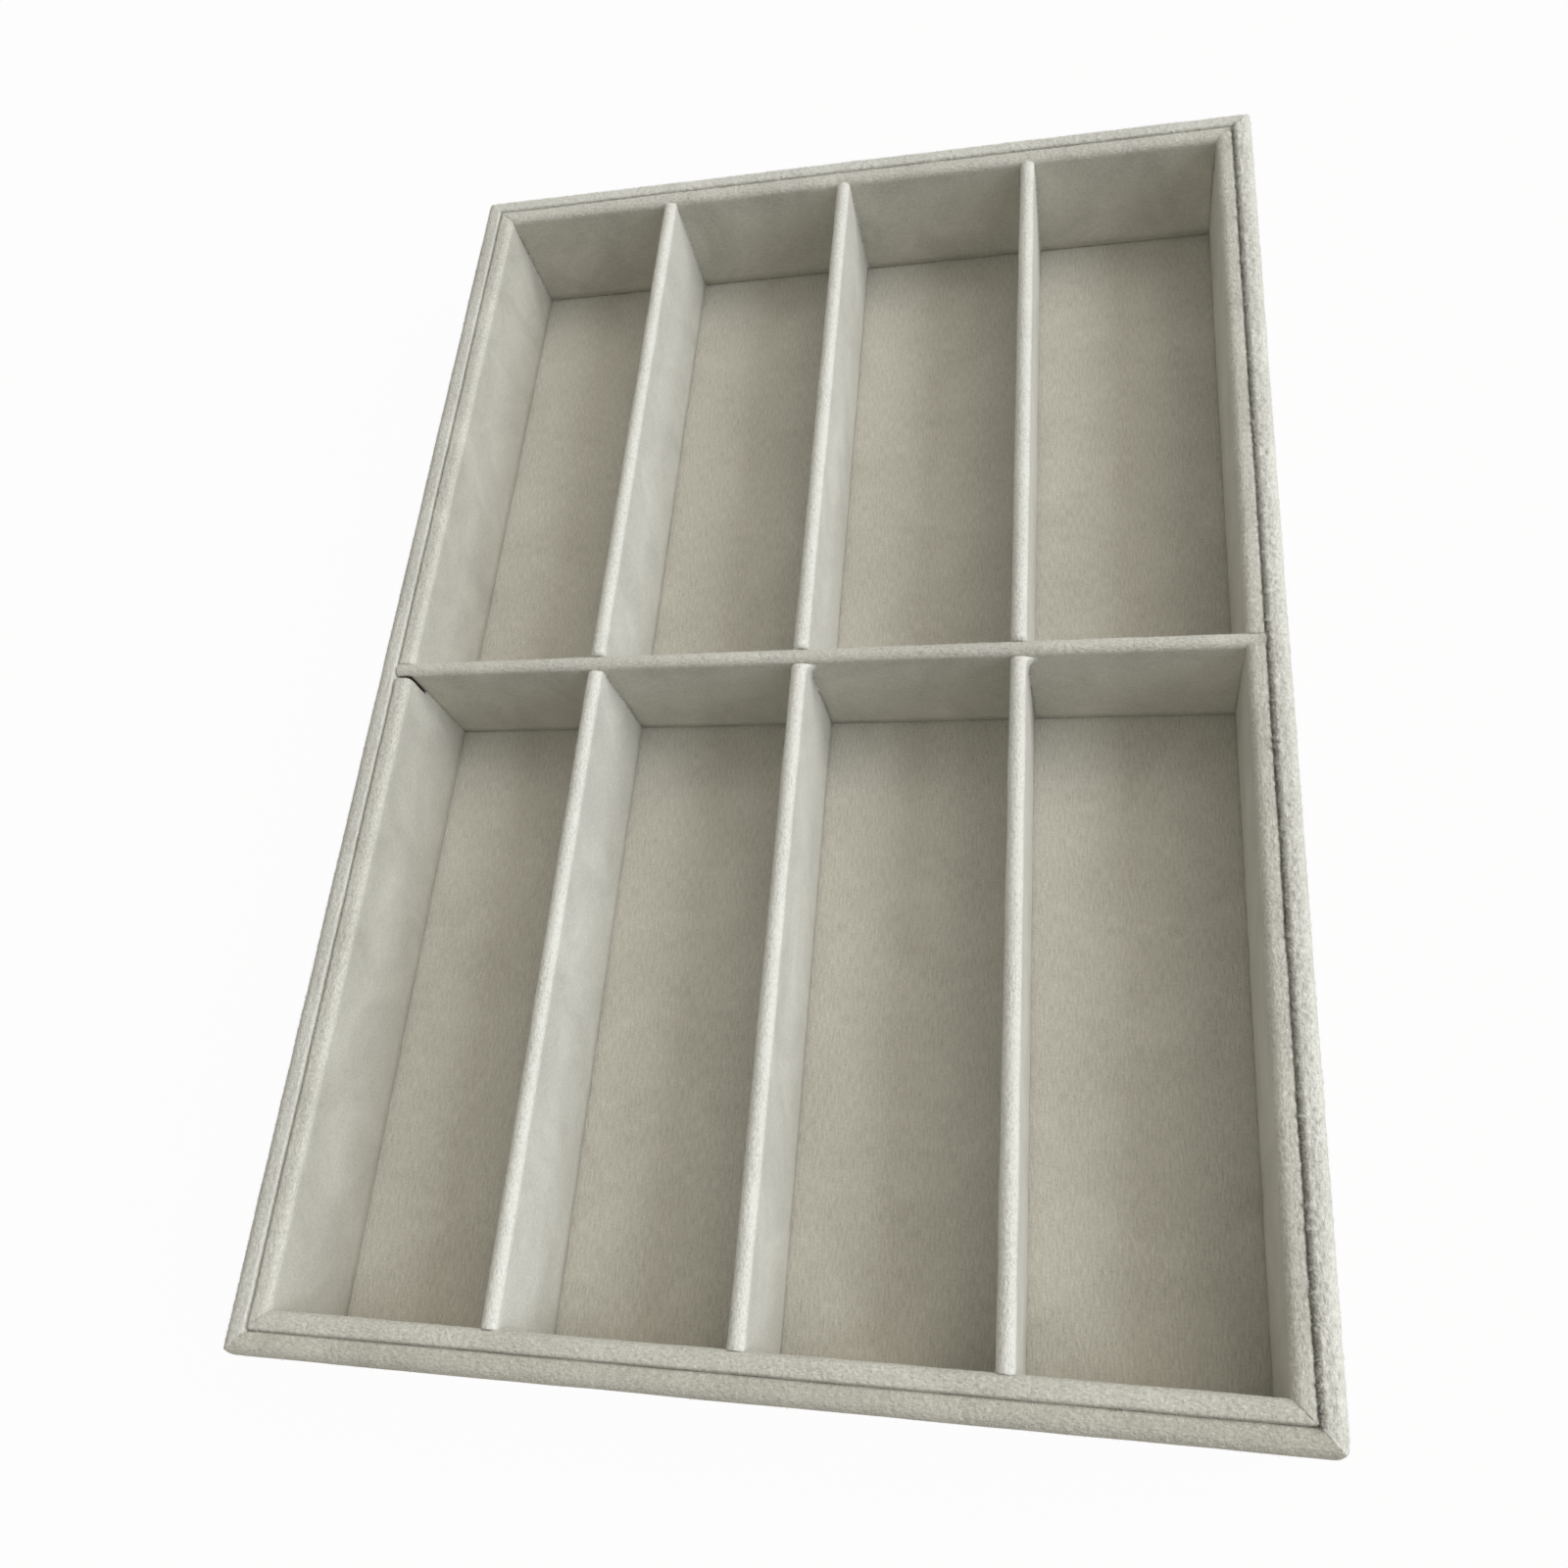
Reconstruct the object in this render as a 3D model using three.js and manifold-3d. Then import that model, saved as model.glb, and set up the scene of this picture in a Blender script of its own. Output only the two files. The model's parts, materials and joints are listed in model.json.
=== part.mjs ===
// An eyeglass storage tray for a drawer or a shop counter: a board tray wrapped in velvet, with a
// velvet-covered liner standing inside its walls and a lift-out grid of half-lapped dividers that
// makes eight compartments, each for one folded pair of glasses.
//
// Millimetres, +Z up. +X runs across the four columns and +Y from the front edge to the back edge.
// The origin is the middle of the underside, where the tray stands.

import * as THREE from "three";
import { mergeVertices, toCreasedNormals } from "three/addons/utils/BufferGeometryUtils.js";
import Module from "manifold-3d";

const wasm = await Module();
wasm.setup();

// Overall size
const TRAY_WIDTH = 238.6; // outside, over the velvet
const TRAY_LENGTH = 351.6; // outside, over the velvet
const COMPARTMENT_DEPTH = 35.5; // from the rim down to the floor's pile
const CORNER_RADIUS = 2; // the four upright outside corners

// Materials by thickness
const VELVET = 0.8; // backing cloth and pile together
const GLUE_LINE = 0.15; // between a board and what is stuck to it
const WALL_BOARD = 3; // fibreboard of the outer walls
const BASE_BOARD = 2.5; // fibreboard under the whole tray
const LINER_BOARD = 2.5; // greyboard of the inner walls
const DIVIDER_BOARD = 2.2; // greyboard of the dividers
const FLOOR_BOARD = 1; // greyboard of the floor panel
const UNDERSIDE_CARD = 1; // card that hides the turned-under velvet

// How far the velvet is turned over, and where the card covers it
const WALL_HEM = 12; // under the base, in from the outside face
const LINER_HEM = 20; // down the liner's hidden side, from the rim
const CARD_INSET = 5; // the card's edge, in from the outside face

// The divider grid
const LONG_DIVIDERS = ["left", "middle", "right"]; // across the tray, evenly spaced
const EAR_HEIGHT = 10; // the tongue at each end of the cross divider that drops into the liner

// Clearances
const LINER_GAP = 0.7; // the dark groove between an outer wall and the liner
const FLOOR_GAP = 0.4; // round the floor panel
const MITRE_GAP = 0.3; // at each piece's mitred end, along its run
const SEAT_GAP = 0.3; // under a piece that stands or hangs on another
const NOTCH_CLEARANCE = 0.4; // each side of an ear in its notch
const LAP_CLEARANCE = 0.3; // each side of a divider in another's slot
const END_CLEARANCE = 0.3; // between a divider's end and the liner's face
const EAR_CLEARANCE = 0.4; // between an ear's tip and the outer wall

// Drawing
const ARC_STEPS = 6; // half the facets of each rounded edge
const OVERRUN = 1; // how far a cutter reaches past what it cuts
const CREASE = Math.PI / 6; // edges sharper than this are shaded sharp

// Thicknesses over the velvet
const WRAP = VELVET + GLUE_LINE;
const WALL = WALL_BOARD + 2 * WRAP;
const LINER = LINER_BOARD + 2 * WRAP;
const DIVIDER = DIVIDER_BOARD + 2 * WRAP;

// Levels, from the underside up
const HEM_BOTTOM = UNDERSIDE_CARD + GLUE_LINE;
const HEM_TOP = HEM_BOTTOM + VELVET;
const BASE_BOTTOM = HEM_TOP + GLUE_LINE;
const BASE_TOP = BASE_BOTTOM + BASE_BOARD;
const WALL_FOOT = BASE_TOP + GLUE_LINE;
const FLOOR_TOP = WALL_FOOT + FLOOR_BOARD + WRAP;
const RIM = FLOOR_TOP + COMPARTMENT_DEPTH;
const STAND = FLOOR_TOP + SEAT_GAP; // where the liner and the dividers stand
const EAR_BOTTOM = RIM - EAR_HEIGHT;
const LAP_LEVEL = (STAND + RIM) / 2; // where the two halves of a lap joint meet

// Places in from the tray's outside face
const LINER_BACK = WALL + LINER_GAP;
const LINER_FACE = LINER_BACK + LINER;

// The long dividers stand between equal columns
const CLEAR_WIDTH = TRAY_WIDTH - 2 * LINER_FACE;
const COLUMN_PITCH = (CLEAR_WIDTH + DIVIDER) / (LONG_DIVIDERS.length + 1);
const LONG_DIVIDER_PLACES = LONG_DIVIDERS.map(
  (name, i) => (i - (LONG_DIVIDERS.length - 1) / 2) * COLUMN_PITCH,
);
const CROSS_DIVIDER_PLACES = [0];

const velvet = new THREE.MeshStandardMaterial({ color: 0xc9c8bd, roughness: 0.95, metalness: 0 });
const fibreboard = new THREE.MeshStandardMaterial({ color: 0xa98a63, roughness: 0.9, metalness: 0 });
const greyboard = new THREE.MeshStandardMaterial({ color: 0xa39d92, roughness: 0.95, metalness: 0 });
const card = new THREE.MeshStandardMaterial({ color: 0xb9b5a8, roughness: 0.85, metalness: 0 });

// Solids

function solidOf(geometry) {
  const bare = geometry.clone();
  bare.deleteAttribute("normal");
  bare.deleteAttribute("uv");
  const merged = mergeVertices(bare);
  return new wasm.Manifold(
    new wasm.Mesh({
      numProp: 3,
      vertProperties: merged.attributes.position.array,
      triVerts: new Uint32Array(merged.index.array),
    }),
  );
}

function pieceOf(name, solid, material) {
  const { vertProperties, triVerts } = solid.getMesh();
  const geometry = new THREE.BufferGeometry();
  geometry.setAttribute("position", new THREE.BufferAttribute(vertProperties, 3));
  geometry.setIndex(new THREE.BufferAttribute(triVerts, 1));
  const piece = new THREE.Mesh(toCreasedNormals(geometry, CREASE), material);
  piece.name = name;
  return piece;
}

// A flat plate with rounded corners, centred in plan.
function plate(width, length, radius, bottom, top) {
  const x = width / 2;
  const y = length / 2;
  const outline = new THREE.Shape();
  outline.moveTo(radius - x, -y);
  outline.lineTo(x - radius, -y);
  outline.absarc(x - radius, radius - y, radius, -Math.PI / 2, 0, false);
  outline.absarc(x - radius, y - radius, radius, 0, Math.PI / 2, false);
  outline.absarc(radius - x, y - radius, radius, Math.PI / 2, Math.PI, false);
  outline.absarc(radius - x, radius - y, radius, Math.PI, (3 * Math.PI) / 2, false);
  const geometry = new THREE.ExtrudeGeometry(outline, {
    depth: top - bottom,
    bevelEnabled: false,
    curveSegments: ARC_STEPS,
  });
  return solidOf(geometry.translate(0, 0, bottom));
}

function block(low, high) {
  const size = high.map((value, i) => value - low[i]);
  const middle = high.map((value, i) => (value + low[i]) / 2);
  return solidOf(new THREE.BoxGeometry(...size).translate(...middle));
}

// A section, drawn inward along its x and up along its y, run along X. Each end of the run is cut
// where endAt says for a point that lies so far inward, so a mitre is a shorter run further in.
function run(section, endAt) {
  const geometry = new THREE.ExtrudeGeometry(section, {
    depth: 2,
    bevelEnabled: false,
    curveSegments: ARC_STEPS,
  });
  const points = geometry.attributes.position;
  for (let i = 0; i < points.count; i++) {
    const inward = points.getX(i);
    const up = points.getY(i);
    const end = points.getZ(i) - 1;
    points.setXYZ(i, end * endAt(inward), inward, up);
  }
  return solidOf(geometry);
}

const mitred = (halfRun, gap) => (inward) => halfRun - inward - gap;
const square = (halfRun) => () => halfRun;

// Sections

// A board on edge with its top rounded right over.
function boardSection(face, thickness, bottom, top) {
  const radius = thickness / 2;
  const section = new THREE.Shape();
  section.moveTo(face, bottom);
  section.lineTo(face + thickness, bottom);
  section.lineTo(face + thickness, top - radius);
  section.absarc(face + radius, top - radius, radius, 0, Math.PI, false);
  return section;
}

// Velvet folded over such a board, with one leg down each side.
function foldedSection(face, thickness, top, nearBottom, farBottom) {
  const radius = thickness / 2;
  const section = new THREE.Shape();
  section.moveTo(face + thickness - VELVET, farBottom);
  section.lineTo(face + thickness, farBottom);
  section.lineTo(face + thickness, top - radius);
  section.absarc(face + radius, top - radius, radius, 0, Math.PI, false);
  section.lineTo(face, nearBottom);
  section.lineTo(face + VELVET, nearBottom);
  section.lineTo(face + VELVET, top - radius);
  section.absarc(face + radius, top - radius, radius - VELVET, Math.PI, 0, true);
  return section;
}

// The outside of a wrapped wall, with the hem that is turned under the base.
function wallOutside() {
  const radius = WALL / 2;
  const section = new THREE.Shape();
  section.moveTo(VELVET, HEM_BOTTOM);
  section.lineTo(WALL_HEM, HEM_BOTTOM);
  section.lineTo(WALL_HEM, HEM_TOP);
  section.lineTo(WALL, HEM_TOP);
  section.lineTo(WALL, RIM - radius);
  section.absarc(radius, RIM - radius, radius, 0, Math.PI, false);
  section.lineTo(0, HEM_TOP);
  section.absarc(VELVET, HEM_TOP, VELVET, Math.PI, (3 * Math.PI) / 2, false);
  return section;
}

// The room inside that wrap for the wall board and the edge of the base board.
function wallInside() {
  const radius = WALL / 2;
  const section = new THREE.Shape();
  section.moveTo(VELVET, HEM_TOP);
  section.lineTo(WALL_HEM + OVERRUN, HEM_TOP);
  section.lineTo(WALL_HEM + OVERRUN, WALL_FOOT);
  section.lineTo(WALL - VELVET, WALL_FOOT);
  section.lineTo(WALL - VELVET, RIM - radius);
  section.absarc(radius, RIM - radius, radius - VELVET, 0, Math.PI, false);
  return section;
}

// Pieces of one side of the tray, with the outside face on y = 0 and +Y inward

// The whole tray's rounded outline, drawn in by inset, as that side sees it.
function envelope(side, inset) {
  const width = 2 * (side.halfRun - inset);
  const length = 2 * (side.halfAcross - inset);
  return plate(width, length, CORNER_RADIUS, -OVERRUN, RIM + OVERRUN).translate([0, side.halfAcross, 0]);
}

function wallBoard(side) {
  const section = boardSection(WRAP, WALL_BOARD, WALL_FOOT, RIM - WRAP);
  return run(section, mitred(side.halfRun, MITRE_GAP)).intersect(envelope(side, WRAP));
}

function wallVelvet(side) {
  const outside = run(wallOutside(), mitred(side.halfRun, MITRE_GAP)).intersect(envelope(side, 0));
  const inside = run(wallInside(), mitred(side.halfRun, -OVERRUN)).intersect(envelope(side, VELVET));
  return outside.subtract(inside);
}

function notched(solid, side) {
  const halfWidth = DIVIDER / 2 + NOTCH_CLEARANCE;
  const bottom = EAR_BOTTOM - SEAT_GAP;
  return side.notches.reduce((left, x) => {
    const low = [x - halfWidth, LINER_BACK - OVERRUN, bottom];
    const high = [x + halfWidth, LINER_FACE + OVERRUN, RIM + OVERRUN];
    return left.subtract(block(low, high));
  }, solid);
}

function linerBoard(side) {
  const section = boardSection(LINER_BACK + WRAP, LINER_BOARD, STAND, RIM - WRAP);
  return notched(run(section, mitred(side.halfRun, MITRE_GAP)), side);
}

function linerVelvet(side) {
  const section = foldedSection(LINER_BACK, LINER, RIM, RIM - LINER_HEM, STAND);
  return notched(run(section, mitred(side.halfRun, MITRE_GAP)), side);
}

function sideOf(name, quarterTurns, halfRun, halfAcross, notches) {
  const side = { halfRun, halfAcross, notches };
  const group = new THREE.Group();
  group.add(pieceOf(`${name}_wall_board`, wallBoard(side), fibreboard));
  group.add(pieceOf(`${name}_wall_velvet`, wallVelvet(side), velvet));
  group.add(pieceOf(`${name}_liner_board`, linerBoard(side), greyboard));
  group.add(pieceOf(`${name}_liner_velvet`, linerVelvet(side), velvet));
  const turn = (quarterTurns * Math.PI) / 2;
  group.rotation.z = turn;
  group.position.set(Math.sin(turn) * halfAcross, -Math.cos(turn) * halfAcross, 0);
  return group;
}

// Dividers, with their length along X and their thickness centred on y = 0

// A divider's body ends at the liner's face. An eared one reaches on through the liner's notches to
// the outer walls. The cuts under its ears and its lap slots go through the board and the velvet alike.
function dividerOf(name, { halfSpan, eared, slots, slotLow, slotHigh }) {
  const bodyEnd = halfSpan - LINER_FACE - END_CLEARANCE;
  const earEnd = halfSpan - WALL - EAR_CLEARANCE;
  const across = DIVIDER / 2 + OVERRUN;
  const slotHalf = DIVIDER / 2 + LAP_CLEARANCE;
  const low = STAND - OVERRUN;
  const cutters = slots.map((x) => block([x - slotHalf, -across, slotLow], [x + slotHalf, across, slotHigh]));
  if (eared) {
    cutters.push(block([bodyEnd, -across, low], [halfSpan, across, EAR_BOTTOM]));
    cutters.push(block([-halfSpan, -across, low], [-bodyEnd, across, EAR_BOTTOM]));
  }
  const cutRun = (section) => {
    const whole = run(section, square(eared ? earEnd : bodyEnd));
    return cutters.reduce((left, cutter) => left.subtract(cutter), whole);
  };
  const core = boardSection(-DIVIDER_BOARD / 2, DIVIDER_BOARD, STAND, RIM - WRAP);
  const cover = foldedSection(-DIVIDER / 2, DIVIDER, RIM, STAND, STAND);
  const group = new THREE.Group();
  group.add(pieceOf(`${name}_board`, cutRun(core), greyboard));
  group.add(pieceOf(`${name}_velvet`, cutRun(cover), velvet));
  return group;
}

// A long divider stands between the end liners. It is slotted from its top edge, so the cross divider
// drops in from above.
function longDivider(name, x) {
  const group = dividerOf(`${name}_divider`, {
    halfSpan: TRAY_LENGTH / 2,
    eared: false,
    slots: CROSS_DIVIDER_PLACES,
    slotLow: LAP_LEVEL - SEAT_GAP / 2,
    slotHigh: RIM + OVERRUN,
  });
  group.rotation.z = Math.PI / 2;
  group.position.x = x;
  return group;
}

// The cross divider is slotted from its bottom edge and rides over the long ones unbroken. Its ears
// hang in the side liners.
function crossDivider(y) {
  const group = dividerOf("cross_divider", {
    halfSpan: TRAY_WIDTH / 2,
    eared: true,
    slots: LONG_DIVIDER_PLACES,
    slotLow: STAND - OVERRUN,
    slotHigh: LAP_LEVEL + SEAT_GAP / 2,
  });
  group.position.y = y;
  return group;
}

// Flat panels

// A plate that keeps the same distance in from all four outside faces.
function panel(inset, bottom, top) {
  return plate(TRAY_WIDTH - 2 * inset, TRAY_LENGTH - 2 * inset, CORNER_RADIUS, bottom, top);
}

// The floor's velvet is turned down round the edge of its board.
function floorVelvet(edge) {
  const outside = panel(edge, WALL_FOOT, FLOOR_TOP);
  const inside = panel(edge + VELVET, WALL_FOOT - OVERRUN, FLOOR_TOP - VELVET);
  return outside.subtract(inside);
}

function panels() {
  const floorEdge = WALL + FLOOR_GAP;
  const floorBoard = panel(floorEdge + WRAP, WALL_FOOT, WALL_FOOT + FLOOR_BOARD);
  const group = new THREE.Group();
  group.add(pieceOf("underside_card", panel(CARD_INSET, 0, UNDERSIDE_CARD), card));
  group.add(pieceOf("base_board", panel(WRAP, BASE_BOTTOM, BASE_TOP), fibreboard));
  group.add(pieceOf("floor_board", floorBoard, greyboard));
  group.add(pieceOf("floor_velvet", floorVelvet(floorEdge), velvet));
  return group;
}

// Assembly

const halfWidth = TRAY_WIDTH / 2;
const halfLength = TRAY_LENGTH / 2;
const tray = new THREE.Group();
tray.name = "eyeglass_storage_tray";
tray.add(panels());
tray.add(sideOf("front", 0, halfWidth, halfLength, []));
tray.add(sideOf("right", 1, halfLength, halfWidth, CROSS_DIVIDER_PLACES));
tray.add(sideOf("back", 2, halfWidth, halfLength, []));
tray.add(sideOf("left", 3, halfLength, halfWidth, CROSS_DIVIDER_PLACES));
LONG_DIVIDERS.forEach((name, i) => tray.add(longDivider(name, LONG_DIVIDER_PLACES[i])));
CROSS_DIVIDER_PLACES.forEach((y) => tray.add(crossDivider(y)));

export default tray;
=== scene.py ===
# %% [markdown]
# # A velvet tray for eyeglasses
# The real tray is a set of thin boards, each wrapped in short-pile velvet. An outer tray holds a velvet
# liner, and a grid of half-lapped dividers stands inside the liner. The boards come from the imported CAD
# model, and this lesson makes the cloth on them: every wrap is swept from a profile, cut to its mitres,
# notches and slots, roughened as pile is, and given loose fibres along its folds.

import json
import math

import bmesh
import bpy
from mathutils import Matrix, Vector, noise

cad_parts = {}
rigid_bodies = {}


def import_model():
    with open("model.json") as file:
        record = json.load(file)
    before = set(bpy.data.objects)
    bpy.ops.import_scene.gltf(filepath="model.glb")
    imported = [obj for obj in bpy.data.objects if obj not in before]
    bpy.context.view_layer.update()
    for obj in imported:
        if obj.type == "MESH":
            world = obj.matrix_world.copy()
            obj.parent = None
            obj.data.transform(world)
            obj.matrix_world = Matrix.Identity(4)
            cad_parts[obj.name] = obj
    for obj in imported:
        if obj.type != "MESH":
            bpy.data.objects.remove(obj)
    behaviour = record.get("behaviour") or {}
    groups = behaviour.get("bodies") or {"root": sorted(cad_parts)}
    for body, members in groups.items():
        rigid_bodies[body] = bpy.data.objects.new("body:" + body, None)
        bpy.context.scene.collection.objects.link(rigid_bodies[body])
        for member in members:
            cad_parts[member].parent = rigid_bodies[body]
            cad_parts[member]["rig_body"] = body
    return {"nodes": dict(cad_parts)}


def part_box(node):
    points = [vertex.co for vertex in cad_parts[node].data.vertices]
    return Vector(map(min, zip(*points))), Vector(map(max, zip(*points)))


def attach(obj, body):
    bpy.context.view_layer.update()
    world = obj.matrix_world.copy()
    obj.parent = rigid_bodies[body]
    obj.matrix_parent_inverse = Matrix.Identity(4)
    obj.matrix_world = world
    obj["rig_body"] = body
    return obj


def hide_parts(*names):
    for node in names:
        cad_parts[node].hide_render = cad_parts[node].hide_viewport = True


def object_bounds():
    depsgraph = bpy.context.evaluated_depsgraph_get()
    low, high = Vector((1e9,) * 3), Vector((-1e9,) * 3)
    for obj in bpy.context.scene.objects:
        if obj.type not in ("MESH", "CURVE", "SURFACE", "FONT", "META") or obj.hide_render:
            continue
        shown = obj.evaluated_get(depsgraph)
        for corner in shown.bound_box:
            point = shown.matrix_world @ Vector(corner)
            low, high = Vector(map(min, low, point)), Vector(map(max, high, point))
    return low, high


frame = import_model()
cad_low, cad_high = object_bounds()
print("CAD box, mm:", [round(1000 * side) for side in Vector(cad_high) - Vector(cad_low)])

# %% [markdown]
# ## Measures
# The solids already have the right places, so the cloth takes its sizes from their boxes. A board with
# velvet on both sides is two wraps thicker than the bare board, and a wrap is the velvet with its glue
# line.

# %% Take the sizes from the solids
MM = 0.001

wall_low, wall_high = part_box("front_wall_velvet")
wall_board_low, wall_board_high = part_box("front_wall_board")
liner_low, liner_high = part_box("front_liner_velvet")
divider_low, divider_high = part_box("middle_divider_velvet")
floor_low, floor_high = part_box("floor_velvet")

HALF_WIDTH = cad_high[0]
HALF_LENGTH = cad_high[1]
RIM = wall_high.z
WRAP = wall_board_low.y - wall_low.y
WALL = wall_board_high.y - wall_board_low.y + 2 * WRAP
WALL_FOOT = wall_board_low.z
WALL_HEM = wall_high.y - wall_low.y  # how far the wall's velvet is turned in under the base
HEM_BOTTOM = wall_low.z
LINER = liner_high.y - liner_low.y
LINER_BACK = liner_low.y + HALF_LENGTH  # measured from the tray's outside
LINER_FACE = LINER_BACK + LINER
STAND = liner_low.z  # the level that the liner and the dividers stand on
DIVIDER = divider_high.x - divider_low.x
DIVIDER_END = divider_high.y
EAR_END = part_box("cross_divider_velvet")[1].x
LAP_LEVEL = (STAND + RIM) / 2
DIVIDERS = {}
for name in ("left", "middle", "right"):
    DIVIDERS[name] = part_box(f"{name}_divider_velvet")[0].x + DIVIDER / 2
print("wall, liner, divider, mm:", [round(1000 * size, 2) for size in (WALL, LINER, DIVIDER)])
print("dividers stand at x, mm:", {name: round(1000 * x, 2) for name, x in DIVIDERS.items()})

# %% [markdown]
# ## Materials
# Colours are written as the sRGB hex values that a paint program shows, and one function turns them into
# the linear values that a shader works with. A second small function adds any node to any node tree, sets
# its properties, and fills each input with a number or with the output of another node.

# %% Colour and node helpers
def linear(hex_colour):
    """The linear colour of an sRGB hex value, by the curve of the sRGB standard."""
    channels = [int(hex_colour[i:i + 2], 16) / 255 for i in (1, 3, 5)]
    return [c / 12.92 if c <= 0.04045 else ((c + 0.055) / 1.055) ** 2.4 for c in channels] + [1]


def add_node(tree, kind, inputs=None, **settings):
    """Add a node. An input's value is a number, a colour or another node's output."""
    added = tree.nodes.new(kind)
    for name, value in settings.items():
        setattr(added, name, value)
    for name, value in (inputs or {}).items():
        if isinstance(value, bpy.types.NodeSocket):
            tree.links.new(value, added.inputs[name])
        else:
            added.inputs[name].default_value = value
    return added


def new_material(name):
    """A material with an empty node tree."""
    material = bpy.data.materials.new(name)
    material.use_nodes = True
    material.node_tree.nodes.clear()
    return material, material.node_tree


print("mid grey in linear light:", round(linear("#808080")[0], 3))

# %% [markdown]
# ### Patterns of the velvet
# The cloth is polyester velvet on a knitted backing, and its pile is sheared short. The eye sees cloudy
# patches where the pile was brushed one way or the other, fine ribs that follow the rows of the knit, a
# fine grain, and pale specks where the pile opens into tufts. Hair all over the cloth would be truer and
# far slower, so these are four noises, each scaled to its real size. The ribs and tufts read the UV map,
# which is the cloth laid flat, and the patches and grain read Object coordinates.

# %% Patches, ribs, grain and tufts
PATCH = 22 * MM
RIB = 0.5 * MM  # a row of the knit
RIB_LENGTH = 3 * MM
GRAIN = 0.6 * MM  # real pile is far finer, drawn coarser so that it shows
TUFT = 0.45 * MM
TUFT_LENGTH = 1.1 * MM


def velvet_patterns(tree):
    """Add the four patterns, and give back what each puts out."""
    place = add_node(tree, "ShaderNodeTexCoord")
    flat_cloth = add_node(tree, "ShaderNodeUVMap", uv_map="cloth")
    patches = add_node(tree, "ShaderNodeTexNoise", {
        "Vector": place.outputs["Object"], "Scale": 1 / PATCH, "Detail": 5, "Roughness": 0.6,
        "Distortion": 0.7})
    rib_map = add_node(tree, "ShaderNodeMapping", {
        "Vector": flat_cloth.outputs["UV"], "Scale": (1 / RIB, 1 / RIB_LENGTH, 1)})
    ribs = add_node(tree, "ShaderNodeTexNoise", {
        "Vector": rib_map.outputs["Vector"], "Scale": 1, "Detail": 2, "Roughness": 0.5})
    grain = add_node(tree, "ShaderNodeTexNoise", {
        "Vector": place.outputs["Object"], "Scale": 1 / GRAIN, "Detail": 2, "Roughness": 0.6})
    tuft_map = add_node(tree, "ShaderNodeMapping", {
        "Vector": flat_cloth.outputs["UV"], "Scale": (1 / TUFT, 1 / TUFT_LENGTH, 1)})
    tufts = add_node(tree, "ShaderNodeTexNoise", {
        "Vector": tuft_map.outputs["Vector"], "Scale": 1, "Detail": 2, "Roughness": 0.6})
    return [pattern.outputs["Fac"] for pattern in (patches, ribs, grain, tufts)]


print("ribs and tufts, mm:", RIB / MM, TUFT / MM)

# %% [markdown]
# ### Knitted velvet
# The patterns are added up to one shade, and a ramp turns it into a colour. The tufts are multiplied by the
# attribute "fold", which the mesh gets later on: it is 1 where the cloth lies level over an edge and 0 on
# an upright face. The crest, a painted highlight on the level tops of the rims, is multiplied by it too.
# The same patterns make the relief. Velvet has no gloss of its own, but its fibres light up at a grazing
# angle, which is what sheen is for.

# %% Velvet
MIDDLE = 0.5  # the mean of a noise
SPECK_RELIEF = 1.2  # compared with the grain's, which is 1
RIB_RELIEF = 2


def knitted_velvet(name, dark, light, base_shade, crest=0.0, rib_share=0.3, tuft_share=0.0,
                   patch_share=0.7, grain_share=0.5):
    """Velvet in shades from dark, 0, to light, 1.

    The base shade is its shade on a face, and crest is a painted highlight that a fold adds to that. Each
    pattern moves the shade by its share, half of it up and half of it down.
    """
    material, tree = new_material(name)
    patches, ribs, grain, tufts = velvet_patterns(tree)
    fold = add_node(tree, "ShaderNodeAttribute", attribute_name="fold")
    specks_and_highlight = add_node(tree, "ShaderNodeMath", {
        0: tufts, 1: tuft_share, 2: crest - MIDDLE * tuft_share}, operation="MULTIPLY_ADD")
    specks_and_highlight = add_node(tree, "ShaderNodeMath", {
        0: specks_and_highlight.outputs["Value"], 1: fold.outputs["Fac"]}, operation="MULTIPLY")
    start = base_shade - MIDDLE * (patch_share + rib_share + grain_share)
    shade = add_node(tree, "ShaderNodeMath", {
        0: specks_and_highlight.outputs["Value"], 1: start}, operation="ADD")
    for pattern, share in ((patches, patch_share), (ribs, rib_share), (grain, grain_share)):
        shade = add_node(tree, "ShaderNodeMath", {
            0: pattern, 1: share, 2: shade.outputs["Value"]}, operation="MULTIPLY_ADD")
    colour = add_node(tree, "ShaderNodeValToRGB", {"Fac": shade.outputs["Value"]})
    colour.color_ramp.elements[0].color = linear(dark)
    colour.color_ramp.elements[1].color = linear(light)
    height = add_node(tree, "ShaderNodeMath", {
        0: specks_and_highlight.outputs["Value"], 1: SPECK_RELIEF, 2: grain}, operation="MULTIPLY_ADD")
    height = add_node(tree, "ShaderNodeMath", {
        0: ribs, 1: RIB_RELIEF * rib_share, 2: height.outputs["Value"]}, operation="MULTIPLY_ADD")
    relief = add_node(tree, "ShaderNodeBump", {
        "Height": height.outputs["Value"], "Strength": 0.5, "Distance": 0.4 * MM})
    surface = add_node(tree, "ShaderNodeBsdfPrincipled", {
        "Base Color": colour.outputs["Color"], "Normal": relief.outputs["Normal"], "Roughness": 0.95,
        "Specular IOR Level": 0.15, "Sheen Weight": 0.45, "Sheen Roughness": 0.4,
        "Sheen Tint": linear("#f4f2ec")})
    add_node(tree, "ShaderNodeOutputMaterial", {"Surface": surface.outputs["BSDF"]})
    return material


# The crest paints a highlight on the folds of this velvet, and its copies below differ from it by painted
# light and shade.
velvet = knitted_velvet("knitted_velvet_wrap", "#aaa69c", "#fbf9ef", base_shade=0.45, crest=0.2,
                        rib_share=0.25, tuft_share=1.2)
print("velvet nodes:", len(velvet.node_tree.nodes))
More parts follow.
